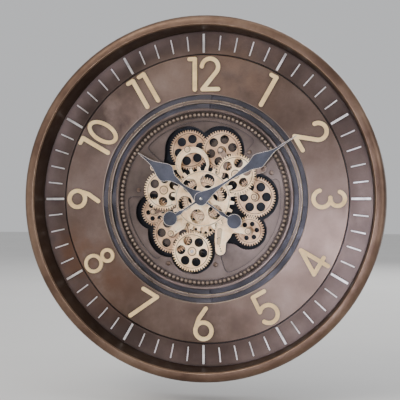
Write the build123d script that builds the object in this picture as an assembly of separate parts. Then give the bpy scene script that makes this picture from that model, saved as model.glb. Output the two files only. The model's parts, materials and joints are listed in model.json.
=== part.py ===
from build123d import *
from math import acos, asin, atan2, cos, hypot, pi, radians, sin, sqrt, tan
import os

# Skeleton wall clock with a train of turning gears in the middle of its dial.
# Millimetres. The clock hangs on a wall: +Z is up, the dial faces -Y, and the wall is the
# plane y = 0. The origin is on the clock's axis at the wall. Every height below is measured
# from the wall towards the viewer, so a height h is the plane y = -h.

# Case
CASE_R = 270.0
CASE_WALL = 1.5
CASE_DEPTH = 80.0
MOUTH_R = 254.4
FOOT_R = 251.3
LEDGE_R = 240.0

# Dial stack, from the outside in
BASE_LOW = 34.0
BASE_TOP = 35.5
SHEET = 1.2
BASE_BORE_R = 113.0
TRACK_IN_R = 217.2
TRACK_MID_R = 234.0
TRACK_EDGE_H = 40.6
TRACK_MID_H = 39.3
DIAL_OUT_R = 216.5
DIAL_IN_R = 156.3
DIAL_TOP = 40.9
MID_RING_R = (148.9, 143.0)
MID_RING_TOP = 42.5
BEAD_RING_R = (135.5, 122.0)
BEAD_CIRCLE_R = 126.0
BEAD_R = 3.1
BEAD_COUNT = 120

# Minute track markers
HOUR_BAR = (219.3, 247.8, 3.3)
MINUTE_BAR = (223.5, 245.4, 1.9)
BAR_TOP = 41.7

# Numerals
NUMERAL_R = 187.2
NUMERAL_H = 52.0
STROKE = 6.2
NUMERAL_THICK = 2.0

# Gear well plate
PLATE_R = 121.9
PLATE_LOW = 40.0
PLATE_TOP = 43.0
PANEL_FLOOR = 41.0
PANEL_R = 116.8

# Gear box behind the plate
BOX_R = 118.0
BOX_WALL = 2.0
BOX_LOW = 18.0
BOX_FLOOR = 20.0
BOX_FLANGE_R = 127.0
BOX_RIM_LOW = 31.0
POST_R = 3.2
POST_TOP = 41.0
STUD_R = 2.0
RUNNING = 0.07

# Gear teeth, in units of the module
MODULE = 1.24
ADDENDUM = 0.85
DEDENDUM = 1.90
THICKNESS = 0.66
FLANK = radians(12)

# Levels of the gear layers, (low, high)
DEEP = (25.0, 27.0)
BACK = (29.0, 31.0)
MIDDLE = (34.0, 36.0)
FRONT = (45.0, 47.0)

# Tooth counts
CENTRE_TEETH = 51
WHEEL_TEETH = 48
SMALL_TEETH = 34
CORNER_TEETH = 35
PINION_3 = 22
PINION_2 = 33
PINION_6 = 26
PINION_8 = 35
PINION_9 = 21
CENTRE_PINION = 23
CENTRE_FACE_TEETH = 45

# Centre stack on the axis of the hands
ARBOR_R = 1.6
TUBE_IN_R = 1.68
TUBE_R = 2.5
BUSH_IN_R = 2.58
BUSH_R = 4.0
SLEEVE_R = 7.0
NECK_R = 5.5
DISPLAY_LOW = 48.5
DISPLAY_STEP = 50.0
DISPLAY_TOP = 50.6
BUSH_HEAD = (51.2, 53.0)
HOUR_HAND = (58.0, 59.6)
MINUTE_HAND = (61.0, 62.6)

# Back panel
PANEL_BACK = (2.5, 5.5)
SERVICE_R = 112.0
MOVEMENT = 56.0
MOVEMENT_BACK = 4.0
CELL_R = 7.0
CELL_L = 50.5


def slab(face, low, high):
    """Prism of a face drawn as seen from the front, between two heights."""
    return extrude(Plane.XZ.offset(low) * face, high - low)


def turned(*points):
    """Solid turned about the clock's axis from (radius, height) points."""
    outline = [(r, -h) for r, h in points]
    return revolve(make_face(Polyline(*outline, close=True)), Axis.Y)


def facing(face):
    """The same face with its normal towards the viewer."""
    flat = face.faces()[0]
    return -flat if flat.normal_at().Z < 0 else flat


def ring(outer, inner, low, high):
    return slab(Circle(outer) - Circle(inner), low, high)


def disc(x, z, r, low, high):
    return slab(Pos(x, z) * Circle(r), low, high)


def clock_point(radius, hours_angle):
    """Point at a clock angle in degrees, 0 at the top and running clockwise."""
    turn = radians(90 - hours_angle)
    return radius * cos(turn), radius * sin(turn)


def link(a, b, ra, rb):
    """Tapered bar with round ends of radius ra at a and rb at b."""
    span = hypot(b[0] - a[0], b[1] - a[1])
    heading = atan2(b[1] - a[1], b[0] - a[0])
    lean = acos((ra - rb) / span)
    corners = []
    for centre, radius, side in ((a, ra, -1), (b, rb, -1), (b, rb, 1), (a, ra, 1)):
        turn = heading + side * lean
        corners.append((centre[0] + radius * cos(turn), centre[1] + radius * sin(turn)))
    bar = Polygon(*corners, align=None)
    return bar + Pos(*a) * Circle(ra) + Pos(*b) * Circle(rb)


def chain(*stations):
    """Several links end to end through (x, z, radius) stations."""
    shape = None
    for one, two in zip(stations, stations[1:]):
        piece = link(one[:2], two[:2], one[2], two[2])
        shape = piece if shape is None else shape + piece
    return shape


def toothed(count, phase):
    """Outline of a gear with straight-flanked teeth; phase is one tooth's centre angle."""
    pitch = count * MODULE / 2
    tip = pitch + ADDENDUM * MODULE
    root = pitch - DEDENDUM * MODULE
    tip_half = (THICKNESS - ADDENDUM * tan(FLANK)) * MODULE
    root_half = (THICKNESS + DEDENDUM * tan(FLANK)) * MODULE
    corners = ((root, -root_half), (tip, -tip_half), (tip, tip_half), (root, root_half))
    outline = []
    for tooth in range(count):
        centre = radians(phase + 360 * tooth / count)
        for radius, half in corners:
            turn = centre + asin(half / radius)
            outline.append((radius * cos(turn), radius * sin(turn)))
    return Polygon(*outline, align=None)


def meshing(bearing, teeth_a, phase_a, teeth_b):
    """Phase of gear b whose gap meets a tooth of gear a on the line of centres."""
    share = (bearing - phase_a) * teeth_a / 360
    return bearing + 180 - (0.5 - share) * 360 / teeth_b


def step_from(centre, bearing, teeth_a, teeth_b):
    """Centre of a gear in mesh with the one at centre, in the direction of bearing."""
    span = (teeth_a + teeth_b) * MODULE / 2
    return centre[0] + span * cos(radians(bearing)), centre[1] + span * sin(radians(bearing))


def round_holes(count, circle, r, first):
    holes = None
    for k in range(count):
        turn = radians(first + 360 * k / count)
        hole = Pos(circle * cos(turn), circle * sin(turn)) * Circle(r)
        holes = hole if holes is None else holes + hole
    return holes


def wheel(teeth, phase, level, holes, step_r):
    """Pierced gear wheel on the axis, with a slightly raised disc inside its teeth."""
    low, high = level
    body = slab(toothed(teeth, phase) - holes, low, high)
    return body + slab(Circle(step_r) - holes, high, high + 0.4)


def pinion(teeth, phase, level):
    return slab(toothed(teeth, phase), *level)


def at(centre, solid):
    return Pos(centre[0], 0, centre[1]) * solid


# Bearings of each gear from the one that it meshes with, degrees from +X towards +Z
BEARING_3 = 36.5
BEARING_6 = 167.6
BEARING_10 = -91.6
BEARING_4 = -51.2
BEARING_2 = 123.2
BEARING_1 = 178.3
BEARING_5 = -99.8
BEARING_7 = -118.4
BEARING_8 = -50.0
BEARING_9 = -38.2

# Gear centres, (x, z)
C3 = step_from((0, 0), BEARING_3, CENTRE_TEETH, WHEEL_TEETH)
C6 = step_from((0, 0), BEARING_6, CENTRE_TEETH, WHEEL_TEETH)
C10 = step_from((0, 0), BEARING_10, CENTRE_PINION, SMALL_TEETH)
C4 = step_from(C3, BEARING_4, PINION_3, WHEEL_TEETH)
C2 = step_from(C3, BEARING_2, PINION_3, WHEEL_TEETH)
C1 = step_from(C2, BEARING_1, PINION_2, WHEEL_TEETH)
C5 = step_from(C4, BEARING_5, WHEEL_TEETH, CORNER_TEETH)
C7 = step_from(C6, BEARING_7, PINION_6, SMALL_TEETH)
C8 = step_from(C7, BEARING_8, SMALL_TEETH, PINION_8)
C9 = step_from(C8, BEARING_9, WHEEL_TEETH, PINION_9)

# Tooth phases that put every pair in mesh at rest
PHASE_CENTRE = 0.0
PHASE_3 = meshing(BEARING_3, CENTRE_TEETH, PHASE_CENTRE, WHEEL_TEETH)
PHASE_6 = meshing(BEARING_6, CENTRE_TEETH, PHASE_CENTRE, WHEEL_TEETH)
PHASE_10 = meshing(BEARING_10, CENTRE_PINION, PHASE_CENTRE, SMALL_TEETH)
PHASE_4 = meshing(BEARING_4, PINION_3, 0.0, WHEEL_TEETH)
PHASE_2 = meshing(BEARING_2, PINION_3, 0.0, WHEEL_TEETH)
PHASE_1 = meshing(BEARING_1, PINION_2, 0.0, WHEEL_TEETH)
PHASE_5 = meshing(BEARING_5, WHEEL_TEETH, PHASE_4, CORNER_TEETH)
PHASE_7 = meshing(BEARING_7, PINION_6, 0.0, SMALL_TEETH)
PHASE_P8 = meshing(BEARING_8, SMALL_TEETH, PHASE_7, PINION_8)
PHASE_P9 = meshing(BEARING_9, WHEEL_TEETH, 0.0, PINION_9)

# Posts moulded on the gear box floor that carry the bridges and cocks
POST_RING_A = (-30.0, 33.0)
POST_RING_B = (-3.0, 33.0)
POST_LEFT = (-31.0, -21.0)
POST_2 = (28.0, 36.0)
POST_4 = (42.0, 8.0)
POST_7 = (-42.0, -10.0)
POSTS = (POST_RING_A, POST_RING_B, POST_LEFT, POST_2, POST_4, POST_7)
LEFT_FOOT = (-77.0, 47.5)
RIGHT_FOOT = (90.0, 44.3)
Y_FOOT = (26.4, -76.5)

nodes = {}

# --- Case -----------------------------------------------------------------------------
inner_wall = FOOT_R + CASE_WALL
outline = [
    (CASE_R, 0),
    (CASE_R, 72.0),
    (CASE_R - 0.9, 75.6),
    (CASE_R - 3.4, 78.4),
    (CASE_R - 6.8, 79.7),
    (CASE_R - 10.5, CASE_DEPTH),
    (MOUTH_R + 1.8, CASE_DEPTH),
    (MOUTH_R, CASE_DEPTH - 1.4),
    (FOOT_R, 41.0),
    (FOOT_R, BASE_LOW),
    (LEDGE_R, BASE_LOW),
    (LEDGE_R, BASE_LOW - 2.0),
    (inner_wall, BASE_LOW - 2.0),
    (inner_wall, 41.0),
    (MOUTH_R + 2.4, CASE_DEPTH - CASE_WALL),
    (CASE_R - 10.7, CASE_DEPTH - CASE_WALL),
    (CASE_R - 7.3, CASE_DEPTH - CASE_WALL - 0.3),
    (CASE_R - 4.4, CASE_DEPTH - CASE_WALL - 1.4),
    (CASE_R - 2.3, 75.0),
    (CASE_R - CASE_WALL, 72.0),
    (CASE_R - CASE_WALL, PANEL_BACK[1] + 2.5),
    (258.0, PANEL_BACK[1] + 2.5),
    (258.0, PANEL_BACK[1]),
    (CASE_R - CASE_WALL, PANEL_BACK[1]),
    (CASE_R - CASE_WALL, 0),
]
case_rim = turned(*outline)

# --- Back panel and what is fixed to it -------------------------------------------------
keyhole = Pos(0, 186) * Circle(5.5) + chain((0, 186, 2.75), (0, 197, 2.75))
panel_face = Circle(CASE_R - CASE_WALL) - Circle(SERVICE_R) - keyhole
back_panel = slab(panel_face, *PANEL_BACK)

rear_screws = []
for k in range(8):
    x, z = clock_point(262.4, 22.5 + 45 * k)
    head = disc(x, z, 3.0, PANEL_BACK[0] - 1.3, PANEL_BACK[0])
    rear_screws.append(head + disc(x, z, 1.4, PANEL_BACK[0], PANEL_BACK[1] + 2.5))
for k in range(6):
    x, z = clock_point(122.6, 30 + 60 * k)
    head = disc(x, z, 3.0, BOX_RIM_LOW - 1.3, BOX_RIM_LOW)
    rear_screws.append(head + disc(x, z, 1.4, BOX_RIM_LOW, BASE_TOP))
for screw in rear_screws[:8]:
    case_rim -= screw
    back_panel -= screw
nodes["case_rim"] = case_rim
nodes["back_panel"] = back_panel

bumpers = [disc(side * 150, -190, 8.0, 0, PANEL_BACK[0]) for side in (-1, 1)]
nodes["wall_bumpers"] = Compound(children=bumpers)

# --- Dial base, with the slate floor and the tabs of the two channels -------------------
dial_base = ring(FOOT_R, BASE_BORE_R, BASE_LOW, BASE_TOP)


def sector(outer, inner, middle, width):
    """Part of a flat ring, width degrees wide, about a clock angle."""
    left = clock_point(outer * 1.2, middle - width / 2)
    right = clock_point(outer * 1.2, middle + width / 2)
    return (Circle(outer) - Circle(inner)) & Polygon((0, 0), right, left, align=None)


for quarter in range(4):
    outer_tab = sector(DIAL_IN_R, MID_RING_R[0], 90 * quarter, 8.9)
    inner_tab = sector(MID_RING_R[1], BEAD_RING_R[0], 90 * quarter, 7.4)
    dial_base += slab(outer_tab, BASE_TOP, BASE_TOP + 4.0)
    dial_base += slab(inner_tab, BASE_TOP, BASE_TOP + 5.0)
for screw in rear_screws[8:]:
    dial_base -= screw
nodes["dial_base"] = dial_base

# The rings of the dial are pressed sheet, open at the back, that stand on the base.
track_hull = turned(
    (TRACK_IN_R, BASE_TOP),
    (FOOT_R, BASE_TOP),
    (FOOT_R, TRACK_EDGE_H),
    (TRACK_MID_R, TRACK_MID_H),
    (TRACK_IN_R, TRACK_EDGE_H),
)
track_hollow = turned(
    (TRACK_IN_R + SHEET, BASE_TOP - 1),
    (FOOT_R - SHEET, BASE_TOP - 1),
    (FOOT_R - SHEET, TRACK_EDGE_H - SHEET),
    (TRACK_MID_R, TRACK_MID_H - SHEET),
    (TRACK_IN_R + SHEET, TRACK_EDGE_H - SHEET),
)
nodes["minute_track"] = track_hull - track_hollow


def marker(bar, clock_angle, points):
    """Raised bar lying along a radius, cut to sit on the dished track."""
    inner, outer, width = bar
    profile = make_face(Polyline(*[(r, -h) for r, h in points], close=True))
    solid = extrude(profile, width / 2, both=True)
    return Rot(0, clock_angle - 90, 0) * solid - track_hull


hour_profile = (
    (HOUR_BAR[0], TRACK_MID_H - 0.5),
    (HOUR_BAR[1], TRACK_MID_H - 0.5),
    (HOUR_BAR[1], BAR_TOP),
    (HOUR_BAR[0], BAR_TOP),
)
slope = (TRACK_EDGE_H - TRACK_MID_H) / (TRACK_MID_R - TRACK_IN_R)
minute_profile = (
    (MINUTE_BAR[0], TRACK_MID_H - 0.5),
    (MINUTE_BAR[1], TRACK_MID_H - 0.5),
    (MINUTE_BAR[1], TRACK_MID_H + slope * (MINUTE_BAR[1] - TRACK_MID_R) + 0.9),
    (TRACK_MID_R, TRACK_MID_H + 0.9),
    (MINUTE_BAR[0], TRACK_MID_H + slope * (TRACK_MID_R - MINUTE_BAR[0]) + 0.9),
)
hour_bars = [marker(HOUR_BAR, 30 * k, hour_profile) for k in range(12)]
nodes["hour_markers"] = Compound(children=hour_bars)
minute_bars = [marker(MINUTE_BAR, 6 * k, minute_profile) for k in range(60) if k % 5]
nodes["minute_markers"] = Compound(children=minute_bars)

dial_ring = turned(
    (DIAL_OUT_R, BASE_TOP),
    (DIAL_OUT_R, DIAL_TOP - 0.5),
    (DIAL_OUT_R - 0.6, DIAL_TOP),
    (DIAL_IN_R + 0.9, DIAL_TOP),
    (DIAL_IN_R, DIAL_TOP - 0.8),
    (DIAL_IN_R, BASE_TOP),
    (DIAL_IN_R + SHEET, BASE_TOP),
    (DIAL_IN_R + SHEET, DIAL_TOP - SHEET),
    (DIAL_OUT_R - SHEET, DIAL_TOP - SHEET),
    (DIAL_OUT_R - SHEET, BASE_TOP),
)
nodes["dial_ring"] = dial_ring

nodes["middle_ring"] = turned(
    (MID_RING_R[0], BASE_TOP),
    (MID_RING_R[0], MID_RING_TOP - 0.8),
    (MID_RING_R[0] - 0.9, MID_RING_TOP),
    (MID_RING_R[1] + 0.9, MID_RING_TOP),
    (MID_RING_R[1], MID_RING_TOP - 0.8),
    (MID_RING_R[1], BASE_TOP),
    (MID_RING_R[1] + SHEET, BASE_TOP),
    (MID_RING_R[1] + SHEET, MID_RING_TOP - SHEET),
    (MID_RING_R[0] - SHEET, MID_RING_TOP - SHEET),
    (MID_RING_R[0] - SHEET, BASE_TOP),
)

# The bead ring: a raised outer rim, a fine groove and a row of half-round beads.
bead_ring = turned(
    (BEAD_RING_R[0], BASE_TOP),
    (BEAD_RING_R[0], 44.9),
    (BEAD_RING_R[0] - 0.7, 45.5),
    (132.4, 45.5),
    (131.7, 44.9),
    (131.7, 41.5),
    (130.1, 41.5),
    (130.1, 44.2),
    (129.4, 44.8),
    (129.2, 43.2),
    (BEAD_RING_R[1], 43.2),
    (BEAD_RING_R[1], BASE_TOP),
    (BEAD_RING_R[1] + 1.5, BASE_TOP),
    (BEAD_RING_R[1] + 1.5, 39.6),
    (BEAD_RING_R[0] - 1.5, 39.6),
    (BEAD_RING_R[0] - 1.5, BASE_TOP),
)
for k in range(BEAD_COUNT):
    x, z = clock_point(BEAD_CIRCLE_R, 360 * k / BEAD_COUNT)
    bead_ring += Pos(x, -43.4, z) * Sphere(BEAD_R)
nodes["bead_ring"] = bead_ring


# --- Numerals ---------------------------------------------------------------------------
HALF = STROKE / 2
TOP = NUMERAL_H - HALF
BOWL = 12.4


def bow(x, y, r, start, size):
    return SlotArc(CenterArc((x, y), r, start, size), STROKE)


def digit_six():
    stem = chain((-12.2, 18.0, HALF), (-7.2, 33.5, HALF), (3.5, TOP, HALF))
    return Pos(0, BOWL + HALF) * (Circle(BOWL + HALF) - Circle(BOWL - HALF)) + (
        stem - Pos(0, BOWL + HALF) * Circle(BOWL)
    )


def digit(value):
    """One digit, 52 high, standing on y = 0 and centred on x = 0."""
    if value == 0:
        return Pos(0, 26) * (Ellipse(15.5, 26) - Ellipse(9.4, 19.9))
    if value == 1:
        return link((4.2, HALF), (4.2, TOP), 3.3, 3.3) + link((4.2, TOP), (-4.4, TOP), 3.1, 2.9)
    if value == 2:
        arc = bow(0, TOP - BOWL, BOWL, -40, 215)
        end_x = BOWL * cos(radians(40))
        end_y = TOP - BOWL - BOWL * sin(radians(40))
        return arc + chain((end_x, end_y, HALF), (-11.6, HALF, HALF), (BOWL, HALF, HALF))
    if value == 3:
        upper = bow(0, TOP - 10.5, 10.5, -90, 252)
        lower = bow(0, HALF + BOWL, BOWL, -165, 255)
        return upper + lower + link((-1.5, HALF + 2 * BOWL), (1, HALF + 2 * BOWL), HALF, HALF)
    if value == 4:
        stem = link((7.4, HALF), (7.4, TOP), HALF, HALF)
        return stem + chain((7.4, TOP, HALF), (-13.4, 14.6, HALF), (14.6, 14.6, HALF))
    if value == 5:
        bowl = bow(0, 16.4, 13.3, -150, 290)
        left = (13.3 * cos(radians(140)), 16.4 + 13.3 * sin(radians(140)))
        return bowl + chain((*left, HALF), (-8.6, TOP, HALF), (10.6, TOP, HALF))
    if value == 6:
        return digit_six()
    if value == 7:
        return chain((-12.2, TOP, HALF), (12.2, TOP, HALF), (-9.4, HALF, HALF))
    if value == 8:
        upper = Pos(0, TOP - 8.5) * (Circle(8.5 + HALF) - Circle(8.5 - HALF))
        lower = Pos(0, HALF + 12.1) * (Circle(12.1 + HALF) - Circle(12.1 - HALF))
        return upper + lower
    return Pos(0, NUMERAL_H) * (Rot(0, 0, 180) * digit_six())


for hour in range(1, 13):
    if hour < 10:
        figures = [digit(hour)]
        places = [1.0 if hour == 1 else 0.0]
    else:
        figures = [digit(1), digit(hour - 10)]
        places = [-9.7, 9.7] if hour == 11 else [-17.7, 9.7]
    turn = 180 - 30 * hour if 4 <= hour <= 8 else -30 * hour
    cx, cz = clock_point(NUMERAL_R, 30 * hour)
    solids = []
    for figure, place in zip(figures, places):
        face = Pos(cx, cz) * (Rot(0, 0, turn) * (Pos(place, -NUMERAL_H / 2) * figure))
        solids.append(slab(face, DIAL_TOP, DIAL_TOP + NUMERAL_THICK))
    nodes[f"numeral_{hour}"] = solids[0] if len(solids) == 1 else Compound(children=solids)

# --- Gear well plate --------------------------------------------------------------------
CLEARANCE_CIRCLES = (
    (C1, 35.2),
    (C2, 36.2),
    (C4, 36.2),
    (C5, 27.6),
    (C7, 27.2),
    (C8, 36.0),
    (C9, 34.2),
)
opening = Circle(66.5)
for centre, r in CLEARANCE_CIRCLES:
    opening += Pos(*centre) * Circle(r)
opening += Polygon((0, 0), (36.0, -66.0), (54.0, -69.0), (60.0, -40.0), align=None)
opening += Polygon((-59.6, 70.0), (-60.4, 62.0), (-63.0, 52.0), (-40.0, 40.0), (-30.0, 66.0), align=None)
gear_plate = turned(
    (PLATE_R, BASE_TOP),
    (PLATE_R, PLATE_TOP - 0.4),
    (PLATE_R - 0.5, PLATE_TOP),
    (20.0, PLATE_TOP),
    (20.0, PLATE_LOW),
    (BASE_BORE_R, PLATE_LOW),
    (BASE_BORE_R, BASE_TOP),
)
gear_plate -= slab(opening, PLATE_LOW - 1, PLATE_TOP + 1)

# Three sunken panels, each between two clock angles, with rounded outer corners
for first, last in ((311.0, 402.5), (74.5, 163.0), (217.0, 272.0)):
    points = [clock_point(PANEL_R * 1.6, last - (last - first) * k / 4) for k in range(5)]
    panel = Circle(PANEL_R) & Polygon((0, 0), *points, align=None)
    corners = [v for v in panel.vertices() if hypot(v.X, v.Y) > PANEL_R - 1]
    panel = fillet(corners, 7.0)
    gear_plate -= slab(panel, PANEL_FLOOR, PLATE_TOP + 1)

# --- Screws in the gear well ------------------------------------------------------------
plate_screw_spots = ((-100.0, 13.3), (69.7, 69.2), (102.6, 38.5), (-53.5, -97.2), (18.6, -98.2))
dress_screws = []


def dome_screw(x, z, seat, r, rise, depth):
    """Slotted screw with a low domed head on a seat and a plain shank below it."""
    dome = turned((0, 0), (r, 0), (r, rise * 0.45), (r * 0.62, rise * 0.9), (0, rise))
    slot = Pos(0, -rise, 0) * Box(2 * r, rise * 0.6, 0.7)
    head = Pos(x, -seat, z) * (dome - slot)
    return head + disc(x, z, 1.2, seat - depth, seat)


for x, z in plate_screw_spots:
    dress_screws.append(dome_screw(x, z, PLATE_TOP, 3.2, 1.9, PLATE_TOP - PLATE_LOW))
for x, z in (LEFT_FOOT, RIGHT_FOOT):
    dress_screws.append(dome_screw(x, z, PLATE_TOP + 1.6, 3.2, 1.9, 4.6))
dress_screws.append(dome_screw(*POST_RING_A, POST_TOP + 3.0, 2.6, 0.8, 8.0))
dress_screws.append(dome_screw(*POST_RING_B, POST_TOP + 3.0, 2.6, 0.8, 8.0))
for post in (POST_LEFT, POST_2, POST_4, POST_7):
    dress_screws.append(dome_screw(*post, POST_TOP + 2.5, 2.6, 1.2, 8.0))
nodes["dress_screws"] = Compound(children=dress_screws)

# --- Gear box ---------------------------------------------------------------------------
gear_box = turned(
    (0, BOX_LOW),
    (BOX_R, BOX_LOW),
    (BOX_R, BOX_RIM_LOW),
    (BOX_FLANGE_R, BOX_RIM_LOW),
    (BOX_FLANGE_R, BASE_LOW),
    (BOX_R - BOX_WALL, BASE_LOW),
    (BOX_R - BOX_WALL, BOX_FLOOR),
    (0, BOX_FLOOR),
)
for x, z in POSTS:
    gear_box += disc(x, z, POST_R, BOX_FLOOR, POST_TOP)

STUD_TOPS = (
    (C1, 45.4),
    (C2, 45.0),
    (C4, 45.2),
    (C5, 46.8),
    (C7, 45.0),
    (C8, 45.2),
    (C10, 37.6),
    (C3, 48.2),
    (C6, 48.2),
)
studs = []
for (x, z), top in STUD_TOPS:
    studs.append(disc(x, z, STUD_R, BOX_LOW, top))
for k in (7, 8):
    x, z = STUD_TOPS[k][0]
    studs[k] += disc(x, z, 3.1, 48.2, 48.9)
nodes["gear_studs"] = Compound(children=studs)
gear_box -= disc(0, 0, BUSH_R, BOX_LOW - 1, BOX_FLOOR + 1)
gear_box -= disc(C9[0], C9[1], 4.5, BOX_LOW - 1, BOX_FLOOR + 1)
for piece in studs + dress_screws[7:] + rear_screws[8:]:
    gear_box -= piece
nodes["gear_box"] = gear_box
nodes["rear_screws"] = Compound(children=rear_screws)

# --- Bridges and cocks ------------------------------------------------------------------
RING_CENTRE = (-16.9, 52.5)
ring_face = Pos(*RING_CENTRE) * Circle(25.8) + Pos(*C1) * Circle(5.0)
ring_face += Pos(*POST_RING_A) * Circle(4.6) + Pos(*POST_RING_B) * Circle(4.6)
ring_face -= Pos(-15.0, 49.8) * Circle(19.6)
ring_bridge = slab(ring_face, POST_TOP, POST_TOP + 3.0)
arm = link((-39.5, 47.0), LEFT_FOOT, 3.2, 4.8) - Pos(-15.0, 49.8) * Circle(19.6)
ring_bridge += slab(arm, PLATE_TOP, PLATE_TOP + 1.6)
ring_bridge += disc(C1[0], C1[1], 3.6, POST_TOP + 3.0, POST_TOP + 3.6)
scribed = Pos(*RING_CENTRE) * (Circle(24.4) - Circle(23.7)) - Pos(-15.0, 49.8) * Circle(20.6)
ring_bridge -= slab(scribed, POST_TOP + 2.5, POST_TOP + 4)

left_cock = slab(
    chain((*C8, 4.6), (-35.0, -38.0, 8.4), (*POST_LEFT, 6.0)) - Pos(-42.0, -48.6) * Circle(1.0),
    POST_TOP,
    POST_TOP + 2.5,
)
left_cock += disc(C8[0], C8[1], 3.6, POST_TOP + 2.5, POST_TOP + 3.1)
left_cock += slab(link((-43.0, -45.5), (-35.0, -37.0), 2.6, 6.0), POST_TOP + 2.5, POST_TOP + 3.1)

cock_2 = slab(chain((*C2, 4.3), (33.4, 61.4, 3.7), (*POST_2, 5.0)), POST_TOP, POST_TOP + 2.5)
cock_4 = slab(chain((*C4, 5.6), (66.0, 12.0, 4.3), (*POST_4, 5.0)), POST_TOP, POST_TOP + 2.5)
cock_7 = slab(chain((*C7, 4.9), (-60.0, -15.0, 3.6), (*POST_7, 5.0)), POST_TOP, POST_TOP + 2.5)
for cock, (x, z) in ((0, C2), (1, C4), (2, C7)):
    boss = disc(x, z, 3.2, POST_TOP + 2.5, POST_TOP + 3.0)
    if cock == 0:
        cock_2 += boss
    elif cock == 1:
        cock_4 += boss
    else:
        cock_7 += boss

y_face = chain((28.6, -31.0, 6.4), (31.0, -50.0, 12.6), (26.4, -62.0, 8.6), (*Y_FOOT, 7.4))
y_face += chain((33.0, -44.5, 11.0), (48.0, -45.6, 4.2), (*C5, 5.1))
y_bridge = slab(y_face, PLATE_TOP, PLATE_TOP + 2.5)
y_bridge += disc(C5[0], C5[1], 3.7, PLATE_TOP + 2.5, PLATE_TOP + 3.1)
sunk = link((25.6, -47.0), (23.6, -66.0), 3.6, 3.0)
y_bridge -= slab(sunk, PLATE_TOP + 1.7, PLATE_TOP + 3)
for x, z in ((24.0, -58.0), (25.2, -70.5), (26.4, -74.3), (27.4, -78.1), (21.4, -59.6)):
    y_bridge -= disc(x, z, 0.9, PLATE_TOP - 1, PLATE_TOP + 4)

strap_3 = slab(
    chain((*RIGHT_FOOT, 5.0), (72.0, 38.0, 4.2), (*C3, 8.0)) - Pos(*C3) * Circle(4.5),
    PLATE_TOP,
    PLATE_TOP + 1.6,
)

for stud in studs:
    ring_bridge -= stud
    left_cock -= stud
    cock_2 -= stud
    cock_4 -= stud
    cock_7 -= stud
    y_bridge -= stud
for screw in dress_screws:
    gear_plate -= screw
    ring_bridge -= screw
    left_cock -= screw
    cock_2 -= screw
    cock_4 -= screw
    cock_7 -= screw
    strap_3 -= screw
nodes["gear_plate"] = gear_plate
nodes["ring_bridge"] = ring_bridge
nodes["lower_left_cock"] = left_cock
nodes["upper_right_cock"] = cock_2
nodes["right_cock"] = cock_4
nodes["left_cock"] = cock_7
nodes["y_bridge"] = y_bridge
nodes["front_strap"] = strap_3

# --- Gears ------------------------------------------------------------------------------
BORE = STUD_R + RUNNING
BIG_HOLES = (6, 17.0, 6.8)
SMALL_HOLES = (6, 11.3, 3.6)


def on_stud(centre, solid, bore=BORE):
    """Bore a gear made on the axis and carry it to its place."""
    return at(centre, solid - disc(0, 0, bore, 0, 60))


gear_1 = wheel(WHEEL_TEETH, PHASE_1, DEEP, round_holes(*BIG_HOLES, 15), 25.0)
gear_1 += disc(0, 0, 4.2, 20.4, DEEP[1] + 1.4)
nodes["gear_1"] = on_stud(C1, gear_1)

gear_2 = wheel(WHEEL_TEETH, PHASE_2, BACK, round_holes(*BIG_HOLES, 15), 25.0)
gear_2 += disc(0, 0, 4.2, 20.4, BACK[1] + 1.4) + pinion(PINION_2, 0.0, DEEP)
nodes["gear_2"] = on_stud(C2, gear_2)

gear_3 = wheel(WHEEL_TEETH, PHASE_3, FRONT, round_holes(*BIG_HOLES, 15), 25.0)
gear_3 += disc(0, 0, 4.2, 20.4, FRONT[1]) + pinion(PINION_3, 0.0, BACK)
gear_3 += disc(0, 0, 4.6, FRONT[1], FRONT[1] + 1.0)
nodes["gear_3"] = on_stud(C3, gear_3)

gear_4 = wheel(WHEEL_TEETH, PHASE_4, BACK, round_holes(*BIG_HOLES, 0), 25.0)
gear_4 += disc(0, 0, 4.2, 20.4, BACK[1] + 1.4)
nodes["gear_4"] = on_stud(C4, gear_4)

gear_5 = wheel(CORNER_TEETH, PHASE_5, BACK, round_holes(*SMALL_HOLES, 7), 17.6)
gear_5 += disc(0, 0, 4.2, 20.4, BACK[1] + 1.4)
nodes["gear_5"] = on_stud(C5, gear_5)

gear_6 = wheel(WHEEL_TEETH, PHASE_6, FRONT, round_holes(*BIG_HOLES, 26), 25.0)
gear_6 += disc(0, 0, 4.2, 20.4, FRONT[1]) + pinion(PINION_6, 0.0, DEEP)
gear_6 += disc(0, 0, 4.6, FRONT[1], FRONT[1] + 1.0)
nodes["gear_6"] = on_stud(C6, gear_6)

gear_7 = wheel(SMALL_TEETH, PHASE_7, DEEP, round_holes(*SMALL_HOLES, 6), 17.0)
gear_7 += disc(0, 0, 4.2, 20.4, DEEP[1] + 1.4)
nodes["gear_7"] = on_stud(C7, gear_7)

gear_8 = wheel(WHEEL_TEETH, 0.0, BACK, round_holes(*BIG_HOLES, 57), 25.0)
gear_8 += disc(0, 0, 4.2, 20.4, BACK[1] + 1.4) + pinion(PINION_8, PHASE_P8, DEEP)
nodes["gear_8"] = on_stud(C8, gear_8)

MOTOR_SHAFT_R = 2.5
gear_9 = wheel(WHEEL_TEETH, 0.0, FRONT, round_holes(*BIG_HOLES, 52), 25.0)
gear_9 += disc(0, 0, 4.4, 22.0, FRONT[1]) + pinion(PINION_9, PHASE_P9, BACK)
gear_9 += disc(0, 0, 4.8, FRONT[1], FRONT[1] + 1.0)
nodes["gear_9"] = on_stud(C9, gear_9, MOTOR_SHAFT_R)

gear_10 = wheel(SMALL_TEETH, PHASE_10, MIDDLE, round_holes(12, 15.6, 2.0, 12), 18.6)
gear_10 += disc(0, 0, 4.2, 20.4, MIDDLE[1] + 1.0)
nodes["gear_10"] = on_stud(C10, gear_10)

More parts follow.
